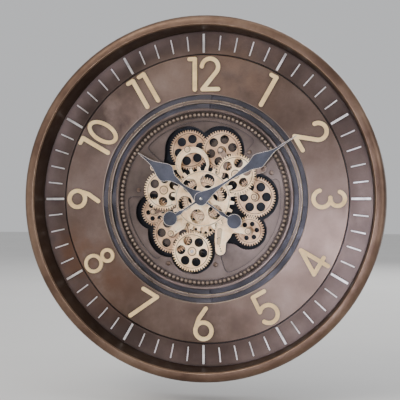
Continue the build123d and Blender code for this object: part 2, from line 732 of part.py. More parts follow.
centre_gear = slab(toothed(CENTRE_TEETH, PHASE_CENTRE), *FRONT)
centre_gear += pinion(CENTRE_PINION, PHASE_CENTRE, MIDDLE)
centre_gear += slab(toothed(CENTRE_FACE_TEETH, PHASE_CENTRE), FRONT[1], FRONT[1] + 1.0)
centre_gear -= slab(round_holes(6, 16.2, 6.4, 2), FRONT[0] - 1, FRONT[1] + 2)
centre_gear += disc(0, 0, SLEEVE_R, 21.0, DISPLAY_LOW)
centre_gear += disc(0, 0, NECK_R, DISPLAY_LOW, DISPLAY_TOP)
nodes["centre_gear"] = centre_gear - disc(0, 0, BUSH_R + RUNNING, 0, 60)

# The display wheel in front: 24 coarse teeth with rounded gaps and six large holes.
COARSE_TEETH = 24
COARSE_TIP = 48.2
COARSE_ROOT = 42.0
coarse = Circle(COARSE_ROOT)
for k in range(COARSE_TEETH):
    tooth = Polygon((40.0, -3.4), (COARSE_TIP, -1.9), (COARSE_TIP, 1.9), (40.0, 3.4), align=None)
    coarse += Rot(0, 0, 7.5 + 360 * k / COARSE_TEETH) * tooth
display_holes = round_holes(6, 27.5, 10.8, 14)
display_wheel = slab(coarse - display_holes, DISPLAY_LOW, DISPLAY_STEP)
display_wheel += slab(Circle(40.0) - display_holes, DISPLAY_STEP, DISPLAY_TOP)
nodes["display_wheel"] = display_wheel - disc(0, 0, NECK_R, 40, 60)

# --- Centre stack and hands -------------------------------------------------------------
centre_bush = disc(0, 0, BUSH_R, BOX_LOW, BUSH_HEAD[0])
centre_bush += disc(0, 0, 6.2, *BUSH_HEAD)
nodes["centre_bush"] = centre_bush - disc(0, 0, BUSH_IN_R, 0, 60)
nodes["hour_tube"] = ring(TUBE_R, TUBE_IN_R, 12.0, HOUR_HAND[1] + 0.4)
minute_arbor = disc(0, 0, ARBOR_R, 9.0, MINUTE_HAND[1])
minute_arbor += Pos(0, -MINUTE_HAND[1], 0) * turned((0, 0), (2.3, 0), (2.0, 0.9), (0, 1.7))
nodes["minute_arbor"] = minute_arbor


def hand(stations, needle, hub_r, tail, clock_angle, level, bore):
    """Spade hand: half-widths along its length, a long needle tip and a round tail disc."""
    upper = Spline(*stations)
    lower = Spline(*[(x, -y) for x, y in stations])
    tip = Line(upper @ 1, (needle, 0.5)) + Line((needle, 0.5), (needle, -0.5))
    close_tip = Line((needle, -0.5), lower @ 1)
    back = Line(upper @ 0, lower @ 0)
    blade = facing(make_face(upper + tip + close_tip + lower + back))
    tail_x, tail_y, tail_r = tail
    neck = chain((0, 0, 3.0), (-14.0, 0, 1.5), (-32.0, 0, 1.3))
    flare = chain((-32.0, 0, 1.3), (-38.5, 0, 3.2), (-44.0, 0, 2.2), (tail_x, tail_y, 3.0))
    face = blade + Circle(hub_r) + neck + flare + Pos(tail_x, tail_y) * Circle(tail_r)
    return slab(Rot(0, 0, 90 - clock_angle) * (face - Circle(bore)), *level)


HOUR_BLADE = (
    (7, 9.0), (10, 8.0), (15, 5.6), (20, 4.0), (26, 2.7), (33, 2.1), (40, 2.6),
    (46, 3.8), (52, 5.2), (56.5, 7.6), (60, 10.6), (63, 12.8), (66.5, 13.9), (70, 13.6),
    (75, 11.8), (80, 9.4), (86, 6.4), (92, 4.1), (99, 2.5), (106, 1.8),
)
MINUTE_BLADE = (
    (6, 9.0), (10, 7.6), (15, 6.0), (20, 4.7), (28, 3.2), (40, 1.9), (50, 1.6),
    (60, 2.0), (70, 3.2), (80, 4.7), (88, 6.1), (94, 8.3), (98, 10.1), (101.5, 11.0),
    (105, 10.4), (110, 8.7), (116, 6.6), (122, 4.4), (128, 2.7), (134, 1.8), (142, 1.4),
)
hour_tail = (-59.6, -1.2, 11.0)
minute_tail = (-55.3, 0.6, 10.8)
nodes["hour_hand"] = hand(HOUR_BLADE, 119.0, 10.8, hour_tail, 305.4, HOUR_HAND, TUBE_R)
nodes["minute_hand"] = hand(MINUTE_BLADE, 169.0, 10.3, minute_tail, 57.0, MINUTE_HAND, ARBOR_R)

# --- Works behind the gear box ----------------------------------------------------------
half = MOVEMENT / 2
movement = slab(RectangleRounded(MOVEMENT, MOVEMENT, 4.0), MOVEMENT_BACK, BOX_LOW)
movement -= slab(Pos(0, -17.0) * Rectangle(CELL_L, 2 * CELL_R + 0.4), 0, 17.5)
movement -= disc(0, 0, TUBE_R + 0.1, 12.0, 30.0)
movement -= disc(0, 0, ARBOR_R + RUNNING, 8.5, 30.0)
KNOB = (14.0, 15.0)
movement -= disc(*KNOB, 2.0 + RUNNING, 0, 9.0)
movement -= slab(Pos(-12, 14) * RectangleRounded(20, 16, 2.0), 0, MOVEMENT_BACK + 0.6)
nodes["movement_housing"] = movement

knob = slab(round_holes(1, 0, 7.4, 0), 1.2, 3.8)
for k in range(24):
    turn = radians(15 * k)
    knob -= disc(7.6 * cos(turn), 7.6 * sin(turn), 0.6, 1.0, 4.0)
knob -= slab(Rectangle(8, 1.4), 1.0, 1.9)
nodes["set_knob"] = at(KNOB, knob + disc(0, 0, 2.0, 3.8, 8.5))

UNIT = (-8.0, -68.0, 76.0, 59.0)
UNIT_BACK = 3.0
MOTOR_R = 12.0
CELL_B = (-9.75, -48.6)
SWITCH = (16.0, -86.0)
unit = slab(Pos(UNIT[0], UNIT[1]) * RectangleRounded(UNIT[2], UNIT[3], 5.0), UNIT_BACK, BOX_LOW)
unit -= slab(Pos(*CELL_B) * Rectangle(CELL_L, 2 * CELL_R + 0.4), 0, 17.5)
unit -= disc(C9[0], C9[1], MOTOR_R, 4.5, 30)
unit -= slab(Pos(*SWITCH) * Rectangle(11.0, 6.0), 0, 7.0)
nodes["drive_unit"] = unit

motor = disc(C9[0], C9[1], MOTOR_R, 4.5, BOX_LOW)
motor -= disc(C9[0], C9[1], MOTOR_SHAFT_R + RUNNING, 10.0, 30)
nodes["drive_motor"] = motor
nodes["motor_shaft"] = disc(C9[0], C9[1], MOTOR_SHAFT_R, 10.5, FRONT[1] + 1.6)

slider = slab(Pos(SWITCH[0] - 2.4, SWITCH[1]) * Rectangle(6.0, 5.8), 3.4, 6.95)
slider += slab(Pos(SWITCH[0] - 2.4, SWITCH[1]) * Rectangle(2.6, 4.6), 1.6, 3.4)
nodes["switch_slider"] = slider


def cell(x, z):
    """AA cell lying along X: a can, and the small positive terminal at its right end."""
    can = Pos(x - 0.5, -(17.5 - CELL_R), z) * (Rot(0, 90, 0) * Cylinder(CELL_R, CELL_L - 1.0))
    nub = Pos(x + CELL_L / 2 - 0.5, -(17.5 - CELL_R), z) * (Rot(0, 90, 0) * Cylinder(2.6, 1.0))
    return can + nub


nodes["batteries"] = Compound(children=[cell(0.0, -17.0), cell(*CELL_B)])

os.makedirs("parts", exist_ok=True)
for name, shape in nodes.items():
    export_step(shape, f"parts/{name}.step")
print(len(nodes), "nodes")
for label, spot in (("1", C1), ("2", C2), ("3", C3), ("4", C4), ("5", C5), ("6", C6), ("7", C7)):
    print("gear", label, [round(v, 3) for v in spot])
for label, spot in (("8", C8), ("9", C9), ("10", C10)):
    print("gear", label, [round(v, 3) for v in spot])
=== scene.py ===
import json
import math

import bpy
from mathutils import Matrix, Vector


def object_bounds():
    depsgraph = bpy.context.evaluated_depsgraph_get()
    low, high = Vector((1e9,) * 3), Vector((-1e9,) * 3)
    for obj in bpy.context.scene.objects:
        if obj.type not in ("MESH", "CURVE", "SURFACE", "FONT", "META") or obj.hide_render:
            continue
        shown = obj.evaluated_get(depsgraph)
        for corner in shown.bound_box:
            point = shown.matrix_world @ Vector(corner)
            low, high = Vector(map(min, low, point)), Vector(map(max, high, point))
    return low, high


# Looks of the skeleton wall clock. Metres, in the frame's own axes: +Z up, the dial faces -Y.
# Every piece is a CAD node with a node material, fine bevels and smooth shading.

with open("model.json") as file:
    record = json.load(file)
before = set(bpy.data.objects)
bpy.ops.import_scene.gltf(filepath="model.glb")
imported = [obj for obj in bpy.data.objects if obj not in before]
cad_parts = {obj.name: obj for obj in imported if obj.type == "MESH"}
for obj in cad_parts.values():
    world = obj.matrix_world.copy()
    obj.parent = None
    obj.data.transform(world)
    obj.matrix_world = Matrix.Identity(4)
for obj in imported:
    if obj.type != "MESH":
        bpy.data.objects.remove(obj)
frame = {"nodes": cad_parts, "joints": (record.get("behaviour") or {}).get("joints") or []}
CAD_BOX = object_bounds()
NODES = frame["nodes"]
PIVOTS = {j["child"]: j["pos_m"] for j in frame["joints"] if "pos_m" in j}
AXIS = (0, 0, 0)  # a point on the dial's own axis, which runs along Y

scene = bpy.context.scene

# --- Camera -----------------------------------------------------------------------------
CAMERA_AT = Vector((0.292042, -1.535703, -0.010125))
YAW, PITCH, ROLL = -0.196587, 0.0054977, 0.0008394
LENS_MM, SENSOR_MM = 91.37, 36.0
CLIP_START, CLIP_END = 0.05, 60

forward = Vector((
    math.sin(YAW) * math.cos(PITCH),
    math.cos(YAW) * math.cos(PITCH),
    math.sin(PITCH),
))
right = forward.cross(Vector((0, 0, 1))).normalized()
upward = right.cross(forward)
right, upward = (
    math.cos(ROLL) * right + math.sin(ROLL) * upward,
    math.cos(ROLL) * upward - math.sin(ROLL) * right,
)
camera_data = bpy.data.cameras.new("camera")
camera_data.lens = LENS_MM
camera_data.sensor_width = SENSOR_MM
camera_data.clip_start, camera_data.clip_end = CLIP_START, CLIP_END
camera = bpy.data.objects.new("camera", camera_data)
scene.collection.objects.link(camera)
turn = Matrix((right, upward, -forward)).transposed().to_4x4()
camera.matrix_world = Matrix.Translation(CAMERA_AT) @ turn
scene.camera = camera


# --- Shader writing ---------------------------------------------------------------------
def linear(rgb):
    """Linear colour from 0 to 255 display values."""
    levels = [c / 255 for c in rgb]
    return tuple(
        v / 12.92 if c <= 10 else ((v + 0.055) / 1.055) ** 2.4 for c, v in zip(rgb, levels)
    ) + (1.0,)


class Shader:
    """A material with one Principled shader, and short names for the nodes that drive it."""

    def __init__(self, name):
        self.material = bpy.data.materials.new(name)
        self.material.use_nodes = True
        self.tree = self.material.node_tree
        self.tree.nodes.clear()
        out = self.tree.nodes.new("ShaderNodeOutputMaterial")
        self.bsdf = self.tree.nodes.new("ShaderNodeBsdfPrincipled")
        self.tree.links.new(self.bsdf.outputs[0], out.inputs["Surface"])
        self.place = self.tree.nodes.new("ShaderNodeTexCoord").outputs["Object"]

    def node(self, kind, *inputs, **settings):
        made = self.tree.nodes.new(kind)
        for key, value in settings.items():
            setattr(made, key, value)
        for k, value in enumerate(inputs):
            self.feed(made.inputs[k], value)
        return made

    def feed(self, socket, value):
        """Link a socket, or set a number, a vector or a display colour."""
        if isinstance(value, bpy.types.NodeSocket):
            self.tree.links.new(value, socket)
        elif isinstance(value, tuple) and socket.type == "RGBA":
            socket.default_value = linear(value)
        else:
            socket.default_value = value

    def set(self, name, value):
        self.feed(self.bsdf.inputs[name], value)

    def colour(self, value):
        self.set("Base Color", value)

    def painted(self):
        """The base colour as it is so far, to paint over."""
        return self.bsdf.inputs["Base Color"].links[0].from_socket

    def noise(self, scale, detail=3.0, rough=0.55):
        made = self.tree.nodes.new("ShaderNodeTexNoise")
        made.inputs["Scale"].default_value = scale
        made.inputs["Detail"].default_value = detail
        made.inputs["Roughness"].default_value = rough
        self.tree.links.new(self.place, made.inputs["Vector"])
        return made.outputs["Fac"]

    def math(self, operation, a, b=0.0, clamp=False):
        return self.node("ShaderNodeMath", a, b, operation=operation, use_clamp=clamp).outputs[0]

    def span(self, value, low, high, out_low=0.0, out_high=1.0):
        """The value rescaled from one range to another, held at its ends."""
        return self.node("ShaderNodeMapRange", value, low, high, out_low, out_high).outputs[0]

    def mix(self, factor, a, b):
        made = self.tree.nodes.new("ShaderNodeMix")
        made.data_type = "RGBA"
        self.feed(made.inputs["Factor"], factor)
        self.feed(made.inputs[6], a)
        self.feed(made.inputs[7], b)
        return made.outputs[2]

    def blotches(self, noise, dark, mid, light, light_from):
        """Three tones in blotches: dark to mid, then mid to light up to light_from."""
        colour = self.mix(self.span(noise, 0.36, 0.5), dark, mid)
        return self.mix(self.span(noise, 0.5, light_from), colour, light)

    def part(self, vector, axis):
        """One part of a vector: 0 for x, 1 for y, 2 for z."""
        return self.node("ShaderNodeSeparateXYZ", vector).outputs[axis]

    def radius(self, centre):
        """Distance from an axis along Y through centre."""
        shifted = self.node(
            "ShaderNodeVectorMath", self.place, tuple(centre), operation="SUBTRACT"
        ).outputs[0]
        parts = self.node("ShaderNodeSeparateXYZ", shifted)
        flat = self.node("ShaderNodeCombineXYZ", parts.outputs[0], 0.0, parts.outputs[2])
        length = self.node("ShaderNodeVectorMath", flat.outputs[0], operation="LENGTH")
        return length.outputs["Value"]

    def band(self, value, at, half):
        """1 at a value and 0 from half away."""
        away = self.math("ABSOLUTE", self.math("SUBTRACT", value, at))
        return self.span(away, 0.0, half, 1.0, 0.0)

    def ring_line(self, centre, at, half, amount):
        """A line round an axis along Y: amount at its middle, and 0 from half away."""
        line = self.math("MULTIPLY", self.band(self.radius(centre), at, half), 2.0, clamp=True)
        return self.math("MULTIPLY", line, amount)

    def crevice(self, reach):
        """0 in corners and gaps, 1 in the open."""
        made = self.tree.nodes.new("ShaderNodeAmbientOcclusion")
        made.samples = 6
        made.inputs["Distance"].default_value = reach
        return made.outputs["AO"]

    def edges(self, reach):
        """1 along the node's own edges and 0 from about reach away."""
        rounded = self.node("ShaderNodeBevel", reach, samples=8).outputs[0]
        flat = self.node("ShaderNodeNewGeometry").outputs["Normal"]
        agree = self.node("ShaderNodeVectorMath", rounded, flat, operation="DOT_PRODUCT")
        return self.span(agree.outputs["Value"], 0.80, 0.97, 1.0, 0.0)

    def sides(self):
        """1 on walls that stand up from the dial and 0 on faces that look forward."""
        normal = self.node("ShaderNodeTexCoord").outputs["Normal"]
        forward_part = self.math("ABSOLUTE", self.part(normal, 1))
        return self.span(forward_part, 0.35, 0.8, 1.0, 0.0)

    def near(self, spot, reach):
        """1 on an axis along Y through a spot (x, z) and 0 from reach away."""
        return self.span(self.radius((spot[0], 0.0, spot[1])), 0.0, reach, 1.0, 0.0)

    def depth(self):
        """Height above the wall."""
        return self.math("MULTIPLY", self.part(self.place, 1), -1.0)

    def spun(self, amount):
        """Metal finished on a lathe, so that light falls on it in radial streaks."""
        tangent = self.node("ShaderNodeTangent", direction_type="RADIAL", axis="Y").outputs[0]
        self.tree.links.new(tangent, self.bsdf.inputs["Tangent"])
        self.set("Anisotropic", amount)
        self.set("Anisotropic Rotation", 0.25)

    def bump(self, height, strength, depth):
        made = self.tree.nodes.new("ShaderNodeBump")
        made.inputs["Strength"].default_value = strength
        made.inputs["Distance"].default_value = depth
        self.feed(made.inputs["Height"], height)
        self.set("Normal", made.outputs["Normal"])


# --- Studio -----------------------------------------------------------------------------
FLOOR_Z = CAD_BOX[0].z - 0.03
FLOOR_HALF = 9.0
SKY_COLOUR = (0.80, 0.81, 0.83, 1)
SKY_STRENGTH = 0.75
FULL_SPREAD = 180
# Each light: name, place, aim, size, watts, colour and spread in degrees.
LIGHTS = [
    ("key", (-1.2, -2.0, 1.9), AXIS, (1.3, 1.3), 32, (1.0, 0.95, 0.88), FULL_SPREAD),
    ("fill", (2.1, -1.5, 0.1), AXIS, (1.4, 1.8), 24, (0.90, 0.93, 1.0), FULL_SPREAD),
    ("sheen", (0.05, -2.2, -0.34), (0.20, 0, -0.15), (0.7, 0.6), 1.6, (0.73, 0.78, 1.0), 34),
    ("left", (-2.2, -1.3, 0.1), AXIS, (1.2, 1.6), 7, (1.0, 0.95, 0.90), FULL_SPREAD),
    ("top", (0.2, -0.5, 2.2), AXIS, (1.8, 1.0), 9, (1, 1, 1), FULL_SPREAD),
    ("behind", (0.6, 2.6, 1.6), AXIS, (2.0, 2.0), 40, (1, 1, 1), FULL_SPREAD),
]


def area_light(name, at, towards, size, watts, colour, spread):
    data = bpy.data.lights.new(name, "AREA")
    data.shape = "RECTANGLE"
    data.size, data.size_y = size
    data.energy = watts
    data.color = colour
    data.spread = math.radians(spread)
    light = bpy.data.objects.new(name, data)
    scene.collection.objects.link(light)
    light.location = at
    aim = Vector(towards) - Vector(at)
    light.rotation_euler = aim.to_track_quat("-Z", "Y").to_euler()


def studio():
    """Pale floor, pale sky and soft lights."""
    floor_mesh = bpy.data.meshes.new("floor")
    corners = [(-1, -1), (1, -1), (1, 1), (-1, 1)]
    floor_mesh.from_pydata(
        [(x * FLOOR_HALF, y * FLOOR_HALF, FLOOR_Z) for x, y in corners], [], [(0, 1, 2, 3)]
    )
    floor = bpy.data.objects.new("floor", floor_mesh)
    scene.collection.objects.link(floor)
    shade = Shader("floor_pale")
    shade.colour(shade.mix(shade.noise(3.0), (214, 213, 211), (224, 223, 221)))
    shade.set("Roughness", 0.85)
    shade.set("Specular IOR Level", 0.2)
    floor_mesh.materials.append(shade.material)

    world = bpy.data.worlds.new("studio")
    scene.world = world
    world.use_nodes = True
    sky = world.node_tree.nodes["Background"]
    sky.inputs["Color"].default_value = SKY_COLOUR
    sky.inputs["Strength"].default_value = SKY_STRENGTH
    for light in LIGHTS:
        area_light(*light)


studio()


# --- Kinds of material ------------------------------------------------------------------
def patina(
    name, dark, mid, light, blotch=18.0, metal=0.7, rough=(0.38, 0.55), grime=None, reach=0.006,
    open_at=0.85, spots=(), worn=None, lines=(), spun=0.0, grain=0.25,
):
    """Aged metal: three tones in blotches, fine speckle, painted edges, and dirt and painted
    shade in corners.

    blotch is the scale of the tones, rough the range of roughness, and grain the bump.
    The tone for corners within reach paints dirt and shade there, and it ends where they are
    open_at open.
    Each spot is (place, reach, amount, tone), and each line is (radius, half width, amount,
    tone) about the dial's axis. The edge tone is (tone, width): a light one paints a highlight
    along the edges, a dark one paints shade there.
    spun is how far the finish follows the lathe.
    """
    s = Shader(name)
    fine = s.noise(420.0, 3.0, 0.7)
    colour = s.blotches(s.noise(blotch, 5.0, 0.62), dark, mid, light, 0.66)
    for spot, wide, amount, tone in spots:
        ragged = s.span(s.noise(26.0, 5.0, 0.6), 0.38, 0.6, 0.0, amount)
        colour = s.mix(s.math("MULTIPLY", s.near(spot, wide), ragged), colour, tone)
    colour = s.mix(s.span(fine, 0.35, 0.75, 0.0, 0.22), colour, dark)
    # Painted edges: a light tone paints a highlight along them, a dark tone paints shade.
    if worn:
        tone, width = worn
        colour = s.mix(s.edges(width), colour, tone)
    for at, half, amount, tone in lines:
        colour = s.mix(s.ring_line(AXIS, at, half, amount), colour, tone)
    # Dirt and painted shade in corners, darker where they are more closed in.
    if grime:
        colour = s.mix(s.span(s.crevice(reach), 0.15, open_at, 0.88, 0.0), colour, grime)
    s.colour(colour)
    s.set("Metallic", metal)
    s.set("Roughness", s.span(s.noise(90.0, 4.0), 0.35, 0.65, *rough))
    s.bump(fine, grain, 0.00025)
    if spun:
        s.spun(spun)
    return s


def plain_patina(name, *tones, **kind):
    return patina(name, *tones, **kind).material


INNER_WALL = (0.2556, 0.2566)  # the radii between which the rim's inner wall ends
WALL_HEIGHT = (0.040, 0.0795)  # from the track to the lip
WALL_SHADE = (0.64, 0.56)


def rim_patina(name, *tones, **kind):
    """The case's bronze, with painted shade darkening its inner wall towards the dial."""
    s = patina(name, *tones, **kind)
    bare = s.painted()
    inside = s.span(s.radius(AXIS), *INNER_WALL, 1.0, 0.0)
    shade = s.math("MULTIPLY", inside, s.span(s.depth(), *WALL_HEIGHT, *WALL_SHADE))
    s.colour(s.mix(shade, bare, (30, 24, 21)))
    return s.material


BEADS_END = (0.1293, 0.1296)  # the radii between which the row of beads ends
BEAD_TOPS = (0.0449, 0.0461)
BEAD_FEET = (0.0434, 0.0446)
# Tone of the painted shade between the beads, and of dirt and painted shade in corners.
BEAD_GRIME_AND_SHADE = (14, 11, 10)


def beaded_bronze():
    """The plate's bronze, with a painted highlight on the tops of the beads, painted shade
    between them, and dirt and painted shade in corners.
    """
    s = patina(
        "beaded_bronze", (84, 70, 62), (104, 88, 79), (120, 104, 94), blotch=14.0, metal=0.8,
        rough=(0.3, 0.4),
    )
    bare = s.painted()
    beads = s.span(s.radius(AXIS), *BEADS_END, 1.0, 0.0)
    # Painted highlight on the bead tops, and painted shade at their feet.
    bead_highlight = s.math("MULTIPLY", beads, s.span(s.depth(), *BEAD_TOPS))
    colour = s.mix(bead_highlight, bare, (150, 132, 116))
    gap_shade = s.math("MULTIPLY", beads, s.span(s.depth(), *BEAD_FEET, 0.6, 0.0))
    colour = s.mix(gap_shade, colour, BEAD_GRIME_AND_SHADE)
    # Dirt and painted shade in corners.
    corners = s.span(s.crevice(0.003), 0.15, 0.8, 0.85, 0.0)
    s.colour(s.mix(corners, colour, BEAD_GRIME_AND_SHADE))
    return s.material


# Tones of the scribed lines and of painted shade on side walls, and of painted shade below a
# front face.
SCRIBED_AND_SIDE_SHADE = (48, 30, 20)
SHADED = (26, 20, 18)


def gear_material(name, tones, rings, face_mm=None, metal=0.4, below=SHADED):
    """Pale plated metal with dark lines scribed round its axes, a painted highlight along its
    edges, painted shade on its side walls, and dirt and painted shade in its corners.

    Each ring is (axis, radius, half width, amount), in metres. Where face_mm gives the
    height of the front face above the wall, what is lower takes painted shade in the tone below.
    """
    s = Shader(name)
    fine = s.noise(500.0, 3.0, 0.7)
    colour = s.blotches(s.noise(55.0, 4.0, 0.6), *tones, 0.68)
    colour = s.mix(s.span(fine, 0.4, 0.8, 0.0, 0.2), colour, (150, 112, 78))
    # Painted highlight along the edges.
    colour = s.mix(s.edges(0.0007), colour, (255, 240, 214))
    # Painted shade on the side walls.
    colour = s.mix(s.math("MULTIPLY", s.sides(), 0.8), colour, SCRIBED_AND_SIDE_SHADE)
    for ring in rings:
        colour = s.mix(s.ring_line(*ring), colour, SCRIBED_AND_SIDE_SHADE)
    # Dirt and painted shade in the corners.
    colour = s.mix(s.span(s.crevice(0.005), 0.12, 0.92, 0.92, 0.0), colour, (42, 26, 18))
    # Painted shade on what lies below the front face.
    if face_mm:
        face = face_mm / 1000
        under = s.span(s.depth(), face - 0.0003, face - 0.0001, 0.92, 0.0)
        colour = s.mix(under, colour, below)
    s.colour(colour)
    s.set("Metallic", metal)
    s.set("Roughness", s.span(s.noise(140.0, 4.0), 0.35, 0.65, 0.32, 0.46))
    s.bump(fine, 0.2, 0.0002)
    return s.material


def plastic(name, tone, other, rough=0.42, grain=900.0):
    s = Shader(name)
    s.colour(s.mix(s.noise(60.0, 3.0), tone, other))
    s.set("Roughness", s.span(s.noise(130.0), 0.3, 0.7, rough - 0.06, rough + 0.08))
    s.bump(s.noise(grain, 2.0), 0.3, 0.0001)
    return s.material


CELLS_PART = (-0.0335, -0.0325)  # the z between the lower cell and the upper one
LOWER_CELL_X = -0.00975  # how far along X the lower cell is from the upper one
PALE_FROM = (0.0095, 0.0098)
TIP_FROM = (0.0236, 0.0238)


def battery_material():
    """Battery jacket: plain grey-green with a pale end and a bare metal tip."""
    s = Shader("cell_jacket")
    upper = s.span(s.part(s.place, 2), *CELLS_PART)
    start = s.math("MULTIPLY", s.math("SUBTRACT", 1.0, upper), LOWER_CELL_X)
    along = s.math("SUBTRACT", s.part(s.place, 0), start)
    colour = s.mix(s.span(along, *PALE_FROM), (74, 88, 84), (156, 160, 156))
    colour = s.mix(s.span(along, *TIP_FROM), colour, (190, 188, 184))
    colour = s.mix(s.span(s.noise(200.0), 0.3, 0.7, 0.0, 0.15), colour, (90, 84, 78))
    s.colour(colour)
    s.set("Metallic", 0.6)
    s.set("Roughness", s.span(s.noise(90.0), 0.3, 0.7, 0.28, 0.4))
    return s.material


# --- Materials --------------------------------------------------------------------------
# BROWN and the soot tone colour corners with dirt and painted shade; RUST colours stains; UMBER
# paints shade on the dial.
BROWN = (30, 21, 16)
SOOT_AND_SHADE = (18, 13, 11)
RUST = (112, 76, 52)
UMBER = (70, 54, 44)
# Places on the dial and its track: rust stains, and spots of painted shade and painted sheen;
# each is spot (x, z), reach, amount and tone.
WEAR_AND_PAINTED_LIGHT = [
    # Rust stains.
    ((-0.150, -0.120), 0.080, 0.85, RUST),
    ((-0.205, -0.085), 0.060, 0.7, RUST),
    # Painted shade on the upper left, the lower left and the bottom.
    ((-0.140, 0.125), 0.120, 0.95, (60, 46, 38)),
    ((-0.125, -0.160), 0.110, 0.6, UMBER),
    ((0.015, -0.200), 0.080, 0.8, UMBER),
    # A painted sheen at the top.
    ((0.050, 0.185), 0.090, 0.7, (142, 112, 92)),
]
# Lines on the dial: radius, half width, amount and tone.
GAP_LINE = (0.21685, 0.0012, 0.95, (22, 17, 15))
# A painted highlight along the dial's inner edge.
LIP_HIGHLIGHT = (0.15690, 0.0007, 0.6, (176, 158, 140))
# Spun dial metal: dirt and painted shade in corners, with rust stains and spots of painted
# light.
SPUN_DIAL = dict(
    blotch=11.0, metal=0.8, spun=0.75, grime=SOOT_AND_SHADE, reach=0.005, open_at=0.95, spots=WEAR_AND_PAINTED_LIGHT
)

# The rim's corners take dirt and painted shade, and its inner wall painted shade towards the
# dial.
rim_bronze = rim_patina(
    "rim_bronze", (90, 68, 55), (113, 89, 73), (132, 108, 90), blotch=14.0, metal=0.75,
    rough=(0.36, 0.48), grime=BROWN, reach=0.008, open_at=0.6,
)
# Painted highlight on the rim's rounded edges.
rim_edge = plain_patina(
    "rim_edge", (122, 96, 76), (146, 118, 94), (170, 142, 116), metal=0.8, rough=(0.3, 0.4),
)
dial_bronze = plain_patina(
    "dial_bronze", (88, 70, 59), (106, 87, 75), (122, 103, 91), rough=(0.29, 0.32), grain=0.07,
    lines=[GAP_LINE, LIP_HIGHLIGHT], **SPUN_DIAL,
)
# Painted highlight on the rounded edges of the middle and beaded rings.
dial_edge = plain_patina(
    "dial_edge", (150, 132, 112), (178, 158, 136), (206, 188, 166), metal=0.85,
    rough=(0.25, 0.35),
)
track_bronze = plain_patina(
    "track_bronze", (72, 58, 51), (88, 72, 64), (104, 87, 78), rough=(0.31, 0.35), grain=0.08,
    lines=[GAP_LINE], **SPUN_DIAL,
)
# The plate's corners take dirt and painted shade, and its edges painted shade.
plate_bronze = plain_patina(
    "plate_bronze", (76, 64, 56), (94, 80, 71), (108, 93, 83), blotch=14.0, metal=0.75,
    rough=(0.33, 0.4), grain=0.12, grime=(14, 11, 10), reach=0.006, open_at=0.97,
    worn=((44, 35, 30), 0.0011),
)
slate = plain_patina(
    "slate", (54, 51, 53), (70, 66, 69), (86, 82, 85), blotch=14.0, metal=0.6,
    rough=(0.34, 0.48), spun=0.7,
)
well_dark = plain_patina(
    "well_dark", (16, 17, 21), (24, 25, 30), (33, 35, 42), blotch=20.0, metal=0.3,
    rough=(0.45, 0.6),
)
cream = plain_patina(
    "numeral_cream", (228, 192, 134), (250, 212, 148), (255, 228, 170), blotch=40.0,
    metal=0.05, rough=(0.4, 0.55),
)
# The numerals' rounded edges: worn, and dark also as painted shade round each numeral.
cream_edge = plain_patina(
    "numeral_edge", (98, 76, 54), (132, 106, 78), (160, 134, 104), metal=0.4,
)
silver = plain_patina(
    "marker_silver", (190, 184, 176), (226, 220, 212), (246, 240, 232), blotch=60.0,
    metal=0.6, rough=(0.3, 0.42),
)
# Screw heads with dirt and painted shade in their corners.
screw_bronze = plain_patina(
    "screw_bronze", (84, 66, 54), (112, 92, 78), (146, 124, 108), blotch=120.0, metal=0.85,
    rough=(0.28, 0.4), grime=BROWN, reach=0.002,
)
steel = plain_patina(
    "steel", (150, 140, 128), (186, 176, 162), (208, 200, 188), blotch=120.0, metal=0.9,
    rough=(0.22, 0.34),
)
polished = plain_patina(
    "polished", (196, 194, 190), (222, 220, 216), (240, 238, 234), blotch=200.0, metal=0.95,
    rough=(0.12, 0.2),
)
brass = plain_patina(
    "brass", (150, 118, 70), (184, 150, 96), (206, 176, 122), blotch=90.0, metal=0.9,
    rough=(0.25, 0.38),
)
# The hands' edges carry a painted highlight.
hand_slate = plain_patina(
    "hand_slate", (50, 51, 58), (64, 65, 73), (78, 79, 88), blotch=30.0, metal=0.5,
    rough=(0.4, 0.52), worn=((252, 236, 216), 0.0018),
)
black_plastic = plastic("black_plastic", (22, 22, 24), (32, 32, 34))
grey_plastic = plastic("grey_plastic", (120, 120, 122), (136, 136, 138))
panel_black = plastic("panel_black", (26, 25, 25), (38, 36, 35), rough=0.55, grain=1400.0)
rubber = plastic("rubber", (18, 18, 18), (28, 27, 27), rough=0.75, grain=1800.0)
cell_jacket = battery_material()

# Tones of the plated wheels and bridges: dark, mid and light.
GOLD = ((228, 186, 134), (252, 214, 162), (255, 232, 190))
TAN = ((186, 144, 106), (214, 172, 130), (236, 200, 156))
COCK_TAN = ((112, 88, 72), (142, 116, 97), (168, 141, 120))
# Painted highlights on the rounded edges of the bridges, the studs and the display wheel.
gear_edge_gold = plain_patina(
    "gear_edge_gold", (228, 200, 162), (250, 230, 200), (254, 244, 224), metal=0.7,
    rough=(0.25, 0.35),
)
gear_edge_tan = plain_patina(
    "gear_edge_tan", (196, 162, 126), (222, 192, 156), (236, 212, 180), metal=0.7,
    rough=(0.25, 0.35),
)

# --- Dressing the CAD nodes -------------------------------------------------------------
SMOOTH_ANGLE = math.radians(28)
BEVEL_ANGLE = math.radians(35)
WELD_REACH = 2e-6
FLAT_WEIGHT = 95


